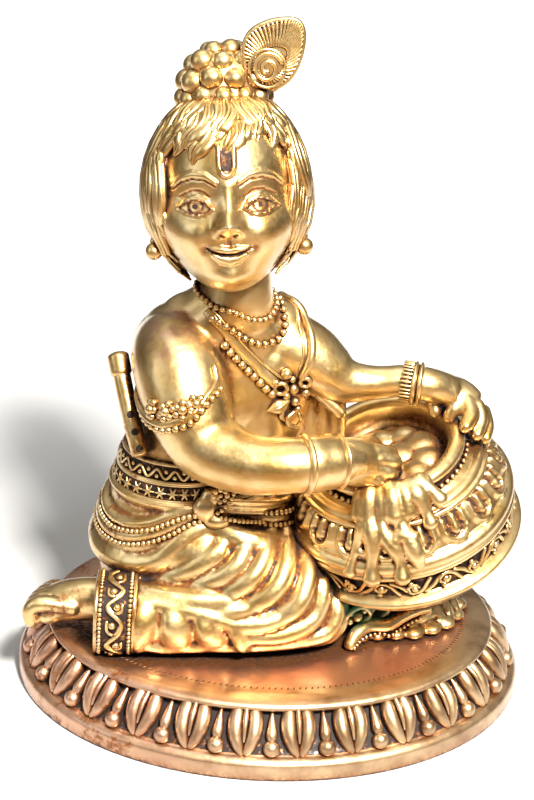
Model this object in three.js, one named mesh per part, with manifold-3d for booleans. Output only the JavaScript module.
// A cast statuette: a kneeling child with one hand in a pot of butter, on an oval plinth bordered with petals.
// +X is the side of the pot, -Y the front that the child faces, and z = 0 the underside of the plinth.
import * as THREE from "three";
import { mergeVertices } from "three/addons/utils/BufferGeometryUtils.js";
import Module from "manifold-3d";

const wasm = await Module();
wasm.setup();

// Plinth, mm
const PLINTH_LENGTH = 180;
const PLINTH_WIDTH = 144;
const PLINTH_HEIGHT = 23.2;
const PLINTH_INSET = 12; // how far the top edge stands inside the foot, all round
const BAND_HEIGHT = 7.4; // plain band round the foot
const BAND_BEVEL = 1.4;
const RIM_HEIGHT = 2.2; // smooth roll above the petals
const COVE_DEPTH = 2.4; // how far the ground of the frieze lies behind its petals
const PETAL_COUNT = 26;
const PETAL_WIDTH = 11.6;
const PETAL_PROUD = 2.8;
const DROP_WIDTH = 3.6;
const BALL_RADIUS = 2.9; // the round bead under each drop

// Pot, mm, measured along its own axis from the belt round its middle
const POT_RADIUS = 39.4;
const LIP_RADIUS = 25.3;
const POT_WALL = 5.3;
const LIP_HEIGHT = 23.5;
const FOOT_DEPTH = 36;
const FOOT_RADIUS = 22;
const BUTTER_DEPTH = 8.5; // from the lip down to the butter
const POT_TILT = 19.2; // degrees, the mouth turned to the child and the viewer
const POT_TILT_TOWARDS = 224.9; // degrees from +X
const POT_AT_X = 42.6;
const POT_AT_Y = 0;
const POT_LIFT = 13.9; // the lump of cloth that the pot stands in
const ARCH_COUNT = 16;
const ARCH_WIDTH = 10.6;
const ARCH_PROUD = 2.2;

// Figure: its height above the plinth, and the height at which the pose below is written down
const FIGURE_HEIGHT = 211.8;
const POSE_HEIGHT = 211.8;
const SEAM = 0.3; // between plinth and figure, which are cast apart
const BEAD = 1.7; // radius of the beads of the long string, in the pose's mm
const LOCK_COUNT = 11;
const FOLD_COUNT = 6; // ridges of cloth over the thigh
const FOLD_DEPTH = 2.2;
const LOCK_DEPTH = 1.9;
const PEARL_COUNT = 8; // round the topknot
const PEARL_PROUD = 2.6;

const UP = new THREE.Vector3(0, 0, 1);
const vec = (x, y, z) => new THREE.Vector3(x, y, z);
const degrees = THREE.MathUtils.degToRad;
const pose = (x, y, z) => vec(x, y, z).multiplyScalar(FIGURE_HEIGHT / POSE_HEIGHT);
const posed = (length) => (length * FIGURE_HEIGHT) / POSE_HEIGHT;

// Solids, joined and cut
function solid(geometry) {
  const bare = geometry.clone();
  bare.deleteAttribute("normal");
  bare.deleteAttribute("uv");
  const welded = mergeVertices(bare, 1e-4);
  const index = [];
  for (let i = 0; i < welded.index.count; i += 3) {
    const [a, b, c] = [0, 1, 2].map((k) => welded.index.getX(i + k));
    if (a !== b && b !== c && c !== a) index.push(a, b, c);
  }
  const position = welded.attributes.position;
  const corner = (i) => vec().fromBufferAttribute(position, index[i]);
  let volume = 0;
  for (let i = 0; i < index.length; i += 3) {
    volume += corner(i).dot(corner(i + 1).cross(corner(i + 2)));
  }
  if (volume < 0) index.reverse();
  const mesh = { numProp: 3, vertProperties: position.array, triVerts: new Uint32Array(index) };
  return new wasm.Manifold(new wasm.Mesh(mesh));
}

function join(solids) {
  return wasm.Manifold.union(solids);
}

function piece(name, body, material) {
  const mesh = body.getMesh();
  const geometry = new THREE.BufferGeometry();
  geometry.setAttribute("position", new THREE.Float32BufferAttribute(mesh.vertProperties, 3));
  geometry.setIndex(new THREE.Uint32BufferAttribute(mesh.triVerts, 1));
  geometry.computeVertexNormals();
  const result = new THREE.Mesh(geometry, material);
  result.name = name;
  return result;
}

// A closed form of `sides` columns and `rows` rows from pole to pole, each point put where `place` says
function form(sides, rows, place) {
  const geometry = new THREE.SphereGeometry(1, sides, rows);
  const position = geometry.attributes.position;
  for (let row = 0; row <= rows; row++) {
    for (let side = 0; side <= sides; side++) {
      const p = place(row / rows, (side % sides) / sides, row);
      position.setXYZ(row * (sides + 1) + side, p.x, p.y, p.z);
    }
  }
  return solid(geometry);
}

// A closed ring: `place` gets the share of the way round it and the angle in its section
function ring(steps, sides, place) {
  const geometry = new THREE.TorusGeometry(2, 1, sides, steps);
  const position = geometry.attributes.position;
  for (let j = 0; j <= sides; j++) {
    for (let i = 0; i <= steps; i++) {
      const p = place((i % steps) / steps, ((j % sides) / sides) * 2 * Math.PI, i % steps);
      position.setXYZ(j * (steps + 1) + i, p.x, p.y, p.z);
    }
  }
  return solid(geometry);
}

// A smooth line through stations, each [point, half width, half depth]
class Spine {
  constructor(stations, face = UP) {
    this.line = new THREE.CatmullRomCurve3(stations.map((s) => s[0]));
    const sizes = stations.map((s) => vec(s[1], s[2] ?? s[1], 0));
    this.sizes = new THREE.CatmullRomCurve3(sizes);
    this.face = face;
  }

  frame(t) {
    const along = this.line.getTangent(t);
    const side = vec().crossVectors(along, this.face).normalize();
    return { at: this.line.getPoint(t), along, side, face: vec().crossVectors(side, along) };
  }

  // The point of the skin at share t and angle a round it, 0 at the side and a quarter turn at the face
  skin(t, a, proud = 0) {
    const { at, side, face } = this.frame(t);
    const size = this.sizes.getPoint(t);
    return at
      .addScaledVector(side, Math.cos(a) * (size.x + proud))
      .addScaledVector(face, Math.sin(a) * (size.y + proud));
  }
}

// A bar along a spine with domed ends
function bar(spine, sides, rows) {
  return form(sides, rows + 2, (v, u, row) => {
    const t = THREE.MathUtils.clamp((row - 1) / rows, 0, 1);
    const size = spine.sizes.getPoint(t);
    const { at, along } = spine.frame(t);
    if (row === 0) return at.addScaledVector(along, -Math.min(size.x, size.y));
    if (row > rows + 1) return at.addScaledVector(along, Math.min(size.x, size.y));
    return spine.skin(t, u * 2 * Math.PI);
  });
}

// A body along a spine whose rows are named one by one: [share, how far it stands proud, lean of the row]
function sleeve(spine, sides, rows, domes, square = 1) {
  const section = (c) => Math.sign(c) * Math.abs(c) ** square;
  const inside = (t) => THREE.MathUtils.clamp(t, 0, 1);
  return form(sides, rows.length + 1, (v, u, row) => {
    const [t, proud, lean = 0] = rows[THREE.MathUtils.clamp(row - 1, 0, rows.length - 1)];
    const { at, along } = spine.frame(t);
    if (row === 0) return at.addScaledVector(along, -posed(domes[0]));
    if (row > rows.length) return at.addScaledVector(along, posed(domes[1]));
    const a = u * 2 * Math.PI;
    const { side, face, at: middle } = spine.frame(inside(t + lean * Math.sin(a + 0.5)));
    const size = spine.sizes.getPoint(t);
    return middle
      .addScaledVector(side, section(Math.cos(a)) * (size.x + posed(proud)))
      .addScaledVector(face, section(Math.sin(a)) * (size.y + posed(proud)));
  });
}

const stationsOf = (points) =>
  points.map(([x, y, z, wide, deep]) => [pose(x, y, z), posed(wide), posed(deep ?? wide)]);

const limb = (points, sides, rows) => bar(new Spine(stationsOf(points)), sides, rows);

function ball(at, radius, sides = 5, rows = 3) {
  return form(sides, rows, (v, u) =>
    vec().setFromSphericalCoords(radius, v * Math.PI, u * 2 * Math.PI).add(at)
  );
}

// A leaf of two lobes with a groove between them, pointed at its foot and round at its tip
const LEAF_SECTION = [[-1, -0.35], [-0.55, 1], [0, 0.25], [0.55, 1], [1, -0.35]];
const LEAF_ROWS = [[0, 0], [0.3, 0.68], [0.78, 1], [1, 0]];

function leaf(foot, tip, outward, width, proud) {
  const along = vec().subVectors(tip, foot);
  const side = vec().crossVectors(along, outward).normalize();
  const out = vec().crossVectors(side, along).normalize();
  return form(LEAF_SECTION.length, LEAF_ROWS.length - 1, (v, u, row) => {
    const [share, wide] = LEAF_ROWS[row];
    const [x, y] = LEAF_SECTION[Math.round(u * LEAF_SECTION.length)];
    return foot
      .clone()
      .addScaledVector(along, share)
      .addScaledVector(side, (x * wide * width) / 2)
      .addScaledVector(out, y * Math.min(1, wide * 1.3) * proud);
  });
}

// The plinth's outline is an oval; what lies inside it is offset by the same amount all round
function ovalPoint(angle, inset, z) {
  const a = PLINTH_LENGTH / 2 - inset;
  const b = PLINTH_WIDTH / 2 - inset;
  return vec(a * Math.cos(angle), b * Math.sin(angle), z);
}

function plinthBody() {
  const frieze = BAND_HEIGHT + 0.6;
  const rimFoot = PLINTH_HEIGHT - RIM_HEIGHT;
  const cove = (share) => [
    THREE.MathUtils.lerp(BAND_BEVEL + COVE_DEPTH, PLINTH_INSET + COVE_DEPTH / 2, share),
    THREE.MathUtils.lerp(frieze, rimFoot, share),
  ];
  const edge = [
    [0, 0], [0, BAND_HEIGHT - BAND_BEVEL], [BAND_BEVEL, BAND_HEIGHT], cove(0), cove(1),
    [PLINTH_INSET - 0.6, rimFoot + 0.4], [PLINTH_INSET, PLINTH_HEIGHT],
  ];
  const sides = 28;
  return form(sides, edge.length + 1, (v, u, row) => {
    if (row === 0) return vec(0, 0, 0);
    if (row > edge.length) return vec(0, 0, PLINTH_HEIGHT);
    const [inset, z] = edge[row - 1];
    return ovalPoint(-u * 2 * Math.PI, inset, z);
  });
}

function plinthFrieze() {
  const [long, wide] = [PLINTH_LENGTH, PLINTH_WIDTH].map((size) => (size - PLINTH_INSET) / 2);
  const middle = new THREE.EllipseCurve(0, 0, long, wide);
  middle.arcLengthDivisions = 400;
  const foot = [BAND_BEVEL + COVE_DEPTH + 0.6, BAND_HEIGHT + 1.2];
  const tip = [PLINTH_INSET + 0.6, PLINTH_HEIGHT - RIM_HEIGHT - 0.5];
  const leaves = [];
  for (let i = 0; i < 2 * PETAL_COUNT; i++) {
    const on = middle.getPointAt(i / (2 * PETAL_COUNT));
    const angle = Math.atan2(on.y / wide, on.x / long);
    const low = ovalPoint(angle, ...foot);
    const high = ovalPoint(angle, ...tip);
    const outward = vec(Math.cos(angle) / long, Math.sin(angle) / wide, 0).normalize();
    if (i % 2 === 0) leaves.push(leaf(low, high, outward, PETAL_WIDTH, PETAL_PROUD));
    else leaves.push(drop(low, high, outward));
  }
  return leaves;
}

// A slim pointed drop that stands on a round bead
function drop(foot, tip, outward) {
  const along = vec().subVectors(tip, foot);
  const length = along.length();
  const bead = (2 * BALL_RADIUS) / length;
  const rows = [[0, 0], [bead / 2, BALL_RADIUS], [bead, BALL_RADIUS * 0.3], [0.6, DROP_WIDTH / 2], [0.95, 0]];
  const side = vec().crossVectors(along, outward).normalize();
  const out = vec().crossVectors(side, along).normalize();
  return form(3, rows.length - 1, (v, u, row) => {
    const a = (u * 2 - 0.5) * Math.PI;
    return foot
      .clone()
      .addScaledVector(along, rows[row][0])
      .addScaledVector(side, Math.cos(a) * rows[row][1])
      .addScaledVector(out, Math.sin(a) * rows[row][1] + 0.2);
  });
}

// The pot stands tilted in its lump of cloth
const potTurn = new THREE.Quaternion().setFromUnitVectors(
  UP,
  vec(
    Math.sin(degrees(POT_TILT)) * Math.cos(degrees(POT_TILT_TOWARDS)),
    Math.sin(degrees(POT_TILT)) * Math.sin(degrees(POT_TILT_TOWARDS)),
    Math.cos(degrees(POT_TILT))
  )
);
const potCentre = vec(POT_AT_X, POT_AT_Y, POT_LIFT + FOOT_DEPTH * Math.cos(degrees(POT_TILT)));
const onPot = (angle, radius, height) =>
  vec(radius * Math.cos(angle), radius * Math.sin(angle), height).applyQuaternion(potTurn).add(potCentre);

function potBody() {
  const flange = LIP_RADIUS + 5.7;
  const low = POT_RADIUS + 0.6;
  const butter = LIP_HEIGHT - BUTTER_DEPTH;
  const mouth = LIP_RADIUS - POT_WALL;
  const outline = [
    [FOOT_RADIUS, -FOOT_DEPTH],
    [FOOT_RADIUS + 8, -FOOT_DEPTH + 8],
    [low - 1.6, -19], [low, -15], [low - 2.2, -12.5],
    [POT_RADIUS - 1, -3.6], [POT_RADIUS + 1.3, -1], [POT_RADIUS - 1.2, 3],
    [flange + 1.5, 12.6], [flange, 15.8], [LIP_RADIUS - 1.4, 18.6],
    [LIP_RADIUS, LIP_HEIGHT - 1], [mouth + 0.6, LIP_HEIGHT],
    [mouth, butter],
  ];
  return form(20, outline.length + 1, (v, u, row) => {
    if (row === 0) return onPot(0, 0, -FOOT_DEPTH);
    if (row > outline.length) return onPot(0, 0, butter + 1.5);
    return onPot(-u * 2 * Math.PI, ...outline[row - 1]);
  });
}

function potCarving() {
  const parts = [];
  for (let i = 0; i < ARCH_COUNT; i++) {
    const a = ((i + 0.5) / ARCH_COUNT) * 2 * Math.PI;
    const foot = onPot(a, LIP_RADIUS + 6.6, 13.4);
    const tip = onPot(a, POT_RADIUS - 0.6, 2.4);
    parts.push(leaf(foot, tip, onPot(a, 1, 0.6).sub(onPot(a, 0, 0)), ARCH_WIDTH, ARCH_PROUD));
  }
  return parts;
}

// The butter: lumps in the mouth, and runs that hang over the front of the lip
function butter() {
  const level = LIP_HEIGHT - BUTTER_DEPTH + 1;
  const lump = (way, out, size) => ball(onPot(degrees(way), out, level), size);
  const run = (way, length, width) => {
    const a = degrees(way);
    const slip = degrees(5);
    const reach = (share) => THREE.MathUtils.lerp(LIP_RADIUS + 6.5, POT_RADIUS + 0.5, share);
    const stations = [
      [onPot(a, LIP_RADIUS - POT_WALL + 1, LIP_HEIGHT - 1), width],
      [onPot(a, LIP_RADIUS - 1, LIP_HEIGHT - 0.4), width],
      [onPot(a - slip, LIP_RADIUS + 4.5, 17), width * 0.9],
      [onPot(a - 2 * slip, reach(length * 0.6), 15 - 12 * length), width],
      [onPot(a - 2 * slip, reach(length), 14 - 18 * length), width * 0.9],
    ];
    return bar(new Spine(stations), 5, 3);
  };
  return [
    lump(200, 9, 6), lump(30, 10, 6.5), lump(310, 12, 5),
    run(238, 0.8, 4.6), run(256, 1, 4.8), run(276, 0.75, 4.4), run(296, 0.35, 4),
  ];
}

// Torso, from the seat up to the neck; the chest is turned a little to the pot
const FRONT = vec(0.436, -0.9, 0);
const torso = new Spine(
  stationsOf([
    [-36, 5, 2, 23, 21], [-36, 5, 16, 26, 24], [-34.5, 4, 30, 26.5, 24.5], [-30, 5, 42, 28, 24],
    [-26, 6, 54, 29, 22], [-21, 8, 68, 32, 20.5], [-16, 8, 82, 33, 19.5], [-15, 7, 94, 30, 17],
    [-15.5, 5, 103, 25.5, 14.5], [-17, 3, 111, 20, 13], [-16, 1, 119, 12.5, 12], [-16, 2, 131, 10.5, 10.5],
  ]),
  FRONT
);

// The torso with what is wound round it: wraps of cloth, two bead rows, a roll and a broad belt
function trunk() {
  const rows = [
    [0, 0], [0.09, 0.4], [0.12, 2, -0.02], [0.15, 0.2, -0.03], [0.19, 1.8, -0.03], [0.23, 0.2, -0.035],
    [0.26, 1.8, -0.03], [0.285, 0, -0.025], [0.31, 2.2, -0.015], [0.345, 0.2, -0.01],
    [0.365, 3], [0.385, 2.6], [0.395, 0.4], [0.405, 1.2], [0.48, 1.2], [0.488, 0],
    [0.57, 0], [0.66, 0], [0.74, 0], [0.81, 0],
    [0.845, 0, -0.03], [0.855, 2, -0.03], [0.875, 2, -0.03], [0.885, 0, -0.03], [1, 0],
  ];
  const knot = ball(torso.skin(0.38, 1.95, posed(2)), posed(5), 6, 4);
  return [sleeve(torso, 12, rows, [1, 3]), knot];
}

// A string of beads that hangs round the neck: high at the nape, low in front
function string(beads, nape, front, radius) {
  return ring(2 * beads, 4, (u, w, step) => {
    const a = u * 2 * Math.PI;
    const fall = Math.pow(0.5 + 0.5 * Math.sin(a), 3.5);
    const t = THREE.MathUtils.lerp(nape, front, fall);
    const size = posed(radius) * (step % 2 ? 0.6 : 1.15);
    const out = vec().subVectors(torso.skin(t, a, 1), torso.skin(t, a)).normalize();
    return torso
      .skin(t, a, posed(radius * 0.6))
      .addScaledVector(out, Math.cos(w) * size)
      .add(vec(0, 0, Math.sin(w) * size));
  });
}

function jewellery() {
  return [string(11, 0.83, 0.57, BEAD), ball(torso.skin(0.57, Math.PI / 2, posed(1)), posed(5), 6, 4)];
}

// Legs: both are folded back under the child, the feet behind the seat
const thigh = new Spine(
  stationsOf([
    [-38, 0, 23, 21.5, 20], [-22, -7, 26, 22, 19], [-5, -15, 22, 19.5, 18], [9, -19, 16.5, 17.5, 16],
  ])
);
const calf = new Spine(
  stationsOf([
    [14, -21, 12, 11.4], [-4, -26, 12.6, 12], [-28, -27.5, 12, 11.6],
    [-50, -27, 13, 12.6], [-59, -26, 13.2, 12.8],
  ])
);

// The cloth over the thigh falls in ridges that fan from the waist to the knee
function drapedThigh() {
  const rows = [[0, 0]];
  for (let i = 0; i <= 2 * FOLD_COUNT; i++) {
    const t = THREE.MathUtils.lerp(0.2, 0.98, i / (2 * FOLD_COUNT));
    rows.push([t, i % 2 ? FOLD_DEPTH : 0, -0.16]);
  }
  return sleeve(thigh, 10, rows, [4, 15]);
}

// The cloth of the lower leg ends in a cuff: a raised rim on each side of a band of scrolls
function drapedCalf() {
  const rows = [
    [0, 0], [0.2, 0], [0.34, 1, 0.05], [0.46, -0.8, 0.05], [0.58, 0.8, 0.04], [0.7, -0.4], [0.785, 0.2],
    [0.795, 1.6], [0.835, 1.6], [0.845, 0.2], [0.955, 0.2], [0.965, 1.6], [1, 1.6],
  ];
  return sleeve(calf, 10, rows, [9, -1], 0.75);
}

function legs() {
  return [
    drapedThigh(),
    drapedCalf(),
    limb([[-34, 18, 22, 19], [-14, 14, 23, 18], [6, 6, 19, 14], [16, 2, 15, 12]], 8, 2),
    limb([[16, 2, 11, 11], [-10, 8, 12, 12], [-40, 10, 11, 11], [-54, 8, 10, 9]], 7, 2),
  ];
}

function foot(x, y, z) {
  const toes = [];
  for (let i = 0; i < 5; i++) {
    const s = i / 4;
    const size = THREE.MathUtils.lerp(3.4, 2.1, s);
    const across = THREE.MathUtils.lerp(-5.8, 6.4, s);
    toes.push(ball(pose(x + 4 * s * s - 22, y + across, z - 4), posed(size), 4, 3));
  }
  const sole = [
    [x + 4, y - 2, z + 1, 7], [x - 6, y, z, 7.4, 7],
    [x - 14, y, z - 1.5, 7.8, 5.6], [x - 20, y, z - 2.8, 7.4, 4.4],
  ];
  return [limb(sole, 7, 2), ...toes];
}

// Arms: the right hand dips into the butter, the left one holds the far side of the lip.
// A hand is one form, its four fingers grooves across it.
const FINGERS = [
  [-1, 0], [-0.75, 0.9], [-0.5, 0.35], [-0.25, 1.05], [0, 0.4],
  [0.25, 1.05], [0.5, 0.35], [0.75, 0.9], [1, 0], [0.5, -0.7], [-0.5, -0.7],
];

function hand(stations, outward) {
  const spine = new Spine(stations, outward);
  const rows = stations.length;
  return form(FINGERS.length, rows + 1, (v, u, row) => {
    const share = THREE.MathUtils.clamp((row - 1) / (rows - 1), 0, 1);
    const { at, along, side, face } = spine.frame(share);
    if (row === 0) return at;
    if (row > rows) return at.addScaledVector(along, posed(2.4));
    const [x, y] = FINGERS[Math.round(u * FINGERS.length)];
    const size = spine.sizes.getPoint(share);
    const knuckle = row > 1 ? y : Math.sign(y) * 0.8 * Math.sqrt(1 - x * x);
    return at.addScaledVector(side, x * size.x).addScaledVector(face, knuckle * size.y);
  });
}

function arms() {
  const lip = (way, out, up) => onPot(degrees(way), LIP_RADIUS + out, LIP_HEIGHT + up);
  const dipWrist = lip(222, 7, 6.6);
  const gripWrist = lip(41, 0.8, 6.6);
  const right = [
    ...stationsOf([
      [-38.5, 6, 101.5, 13.5], [-35.5, -6, 99, 15.5], [-31, -17, 88, 14],
      [-25, -24, 77, 12.3], [-8, -34, 74, 9.8], [4, -36, 76, 8],
    ]),
    [dipWrist, posed(6.6)],
  ];
  const left = [
    ...stationsOf([[0, 8, 99, 13], [9, 7, 95.5, 12.5], [17, 5, 89, 12], [27, 3, 86, 9.8], [38, 2, 87, 7.6]]),
    [gripWrist, posed(6.4)],
  ];
  const dip = [
    [lip(221, 3, 6.8), posed(7), posed(5.4)], [lip(218, -3, 6.4), posed(7.6), posed(5.4)],
    [lip(212, -8, 3.4), posed(7.2), posed(4)], [lip(206, -13, -2.5), posed(5.4), posed(3.2)],
  ];
  const grip = [
    [lip(39, 1, 6.4), posed(5.6), posed(5.4)], [lip(20, 0.6, 4.4), posed(8.2), posed(5.4)],
    [lip(6, 1.6, 2.4), posed(8), posed(4.4)], [lip(-6, 3.4, -3.6), posed(7), posed(3.4)],
  ];
  const band = (t, reach) => [[t - 0.045, 0], [t - 0.04, reach], [t + 0.04, reach], [t + 0.045, 0]];
  const plain = (...shares) => shares.map((t) => [t, 0]);
  const upper = [...plain(0, 0.14, 0.25), ...band(0.36, 2)];
  const lower = [...plain(0.5, 0.62, 0.76), ...band(0.9, 1.2), ...plain(1)];
  const other = [...plain(0, 0.2, 0.4, 0.6, 0.75), ...band(0.88, 1.3), ...plain(1)];
  return [
    sleeve(new Spine(right, vec(0, -1, 0.3)), 10, [...upper, ...lower], [9, 3]),
    sleeve(new Spine(left, vec(0, -1, 0.3)), 8, other, [6, 3]),
    hand(dip, vec(0.2, -0.2, 1)),
    hand(grip, vec(0.8, 0.1, 0.6)),
  ];
}

// Head, in its own frame: +X to the child's left, -Y the face, +Z the crown
const HEAD_BACK = 18; // degrees that the face is lifted
const HEAD_LEAN = 4; // degrees that the crown leans away from the pot
const SKULL_HEIGHT = 31; // half of it, in the pose's mm
const headAngles = new THREE.Euler(-degrees(HEAD_BACK), -degrees(HEAD_LEAN), 0);
const headTurn = new THREE.Quaternion().setFromEuler(headAngles);
const headCentre = pose(-20.5, 0, 154.5);
const onHead = (x, y, z) => pose(x, y, z).applyQuaternion(headTurn).add(headCentre);

// The skull's half width and half depth at a height, and how far it is carried forward there
function skullAt(z, facing) {
  const jaw = THREE.MathUtils.clamp(-z / SKULL_HEIGHT, 0, 1);
  const round = Math.sqrt(Math.max(0, 1 - (z / SKULL_HEIGHT) ** 2));
  const cheek = 2 * Math.sin(Math.PI * Math.min(1, jaw * 1.5));
  return {
    wide: (23 + cheek) * (1 - 0.16 * jaw * jaw) * round ** 0.85,
    deep: 25 * round ** (facing ? 0.5 : 0.9),
    forward: 2.5 * jaw * jaw,
  };
}

function skull() {
  return form(14, 9, (v, u) => {
    if (v === 1) return onHead(0, -10, -SKULL_HEIGHT);
    const z = SKULL_HEIGHT * Math.cos(v * Math.PI);
    const a = u * 2 * Math.PI;
    const { wide, deep, forward } = skullAt(z, Math.sin(a) < 0);
    return onHead(wide * Math.cos(a), deep * Math.sin(a) - forward, z);
  });
}

// A point over the face, as far in front of the skull's surface as `proud` says
function onFace(x, z, proud) {
  const { wide, deep, forward } = skullAt(z, true);
  return onHead(x, -deep * Math.sqrt(1 - (x / wide) ** 2) - forward - proud, z);
}

function face() {
  const stroke = (points, rows) => bar(new Spine(points.map(([at, r]) => [at, posed(r)])), 4, rows);
  const parts = [
    stroke([[onFace(0, 0, -1), 2], [onFace(0, -6, 0.4), 2.6], [onFace(0, -11, 1), 3.8]], 2),
    ball(onFace(0, -25, -4), posed(5.4), 6, 4),
    stroke([[onFace(-6, -19, -0.6), 1.4], [onFace(0, -19, 0), 2.3], [onFace(6, -19, -0.6), 1.4]], 2),
  ];
  for (const way of [-1, 1]) {
    parts.push(
      ball(onFace(9.4 * way, -3.5, -2.6), posed(4.4), 6, 4),
      stroke([4, 10, 16].map((x) => [onFace(x * way, x === 10 ? 5 : 3, -0.3), 1.4]), 2),
      stroke([[22.5, 2], [24.5, -4], [23, -12]].map(([x, z]) => [onHead(x * way, -1.5, z), 3]), 2),
      ball(onHead(23.6 * way, -3.6, -16), posed(3))
    );
  }
  return parts;
}

// Hair: one cap of locks combed down from the crown, open over the face, and longer behind the ears
function hair() {
  const falls = [0, 0.4, 0.8, 1.16, 1.26, 1.6, 2, 2.45, 2.85];
  return form(2 * LOCK_COUNT, falls.length, (v, u, row) => {
    if (row === falls.length) return onHead(0, 3, -34);
    const fall = falls[row];
    const a = u * 2 * Math.PI + 0.5 * v;
    const facing = -Math.sin(a); // 1 straight in front of the face
    const ridge = Math.round(u * 2 * LOCK_COUNT) % 2 ? -0.5 : 0.5;
    const lock = ridge * LOCK_DEPTH * Math.min(1, row / 3);
    const bare = facing > 0.3 && fall > 1.2;
    const low = THREE.MathUtils.clamp((fall - 1.3) / 1.2, 0, 1);
    const round = Math.pow(Math.sin(fall), 1 - 0.4 * low);
    const out = (bare ? 0.72 : 1) * round;
    return onHead(
      (27.5 + lock - 2 * low) * out * Math.cos(a),
      (29 + lock) * out * Math.sin(a) + 1.5 + 3 * low,
      (33 + lock) * Math.cos(fall) * (bare ? 0.86 : 1) - 3.5 * low
    );
  });
}

// The topknot is one form studded with pearls, which stand in every second row and column
function topknot() {
  const rows = [[0, 27], [12, 29], [15, 32], [12, 35.5], [12.4, 38.5], [9.4, 41.5], [8, 44.5], [0, 48]];
  const columns = 2 * PEARL_COUNT;
  return form(columns, rows.length - 1, (v, u, row) => {
    const [out, up] = rows[row];
    const pearl = row > 0 && row % 2 === 0 && (Math.round(u * columns) + row / 2) % 2 === 0;
    const r = pearl ? out + PEARL_PROUD : out;
    const a = u * 2 * Math.PI;
    return onHead(r * Math.cos(a), 4 - up / 12 + r * Math.sin(a), up);
  });
}

// A peacock's eye feather stands beside the topknot
function feather() {
  const outline = new THREE.Shape();
  outline.moveTo(2, 0);
  outline.bezierCurveTo(-6, 3, -9, 12, -9, 17);
  outline.bezierCurveTo(-6, 23, 2, 26, 8, 24.5);
  outline.bezierCurveTo(13, 22, 12.5, 10, 6, 0);
  const blade = new THREE.ExtrudeGeometry(outline, { depth: 2.6, bevelEnabled: false, curveSegments: 5 });
  blade.applyMatrix4(new THREE.Matrix4().makeRotationX(Math.PI / 2 + 0.1));
  blade.scale(posed(1), posed(1), posed(1));
  const at = pose(-9.5, 4, 187.5);
  blade.translate(at.x, at.y, at.z);
  const eye = at.clone().add(pose(-0.5, -3.2, 8));
  const parts = [
    solid(blade),
    ring(7, 4, (u, w) => {
      const a = u * 2 * Math.PI;
      const r = posed(4.2 + 1.3 * Math.cos(w));
      return eye.clone().add(vec(r * Math.cos(a), posed(-1.5 * Math.sin(w)), r * Math.sin(a)));
    }),
  ];
  const barbs = 3;
  for (let i = 0; i < barbs; i++) {
    const a = THREE.MathUtils.lerp(1.7, 0.4, i / (barbs - 1));
    const reach = (share) => {
      const length = share * THREE.MathUtils.lerp(13, 11, i / (barbs - 1));
      return eye.clone().add(pose(length * Math.cos(a), 0.06 * length, length * Math.sin(a)));
    };
    parts.push(bar(new Spine([[reach(0.45), posed(1)], [reach(1), posed(1)]]), 4, 1));
  }
  return parts;
}

// A flute is tucked in the belt behind the right arm
function flute() {
  return limb([[-43, -1, 54, 2.8], [-54.5, 12, 89, 2.8], [-54.8, 12.3, 89.6, 3.9], [-56, 13.6, 93.5, 3.9]], 6, 4);
}

// The lump of cloth that the pot stands in, with a frill that runs out over the plinth
function sash() {
  const under = onPot(0, 0, -FOOT_DEPTH);
  const round = (a, out, z) => vec(under.x + out * Math.cos(a), under.y + out * Math.sin(a), z);
  const rows = [[0, 0], [1.15, 0], [1.05, 0.5], [0.92, 1.3], [0, 1.3]];
  const pad = form(12, rows.length - 1, (v, u, row) => {
    const [out, up] = rows[row];
    return round(u * 2 * Math.PI, out * FOOT_RADIUS, up * POT_LIFT);
  });
  const waves = 5;
  const stations = [];
  for (let i = 0; i <= 2 * waves; i++) {
    const a = THREE.MathUtils.lerp(degrees(-142), degrees(-14), i / (2 * waves));
    const out = FOOT_RADIUS * 1.2 + (i % 2 ? 2 : -1);
    stations.push([round(a, out, i % 2 ? 2.2 : 4.4), 3.2, 2.4]);
  }
  return [pad, bar(new Spine(stations), 4, 2 * waves)];
}

const brass = (name, color, roughness) =>
  new THREE.MeshStandardMaterial({ name, color, roughness, metalness: 1 });

const stand = join([plinthBody(), ...plinthFrieze()]);
const plinth = piece("plinth", stand, brass("plinth brass", 0xb98a45, 0.42));
const cast = [
  potBody(), ...potCarving(), ...butter(), ...sash(),
  ...trunk(), ...jewellery(), ...legs(), ...foot(-61, -17, 10), ...foot(-47, 5, 7.5),
  ...arms(), skull(), ...face(), hair(), topknot(), ...feather(), flute(),
];
const below = new THREE.BoxGeometry(PLINTH_LENGTH, PLINTH_WIDTH, PLINTH_HEIGHT);
below.translate(0, 0, -PLINTH_HEIGHT / 2);
const flat = join(cast).subtract(solid(below)); // the figure's underside is flat
const figure = piece("krishna_figure", flat, brass("gilt brass", 0xd9a441, 0.3));
figure.position.z = PLINTH_HEIGHT + SEAM;

const statuette = new THREE.Group();
statuette.add(plinth, figure);
export default statuette;
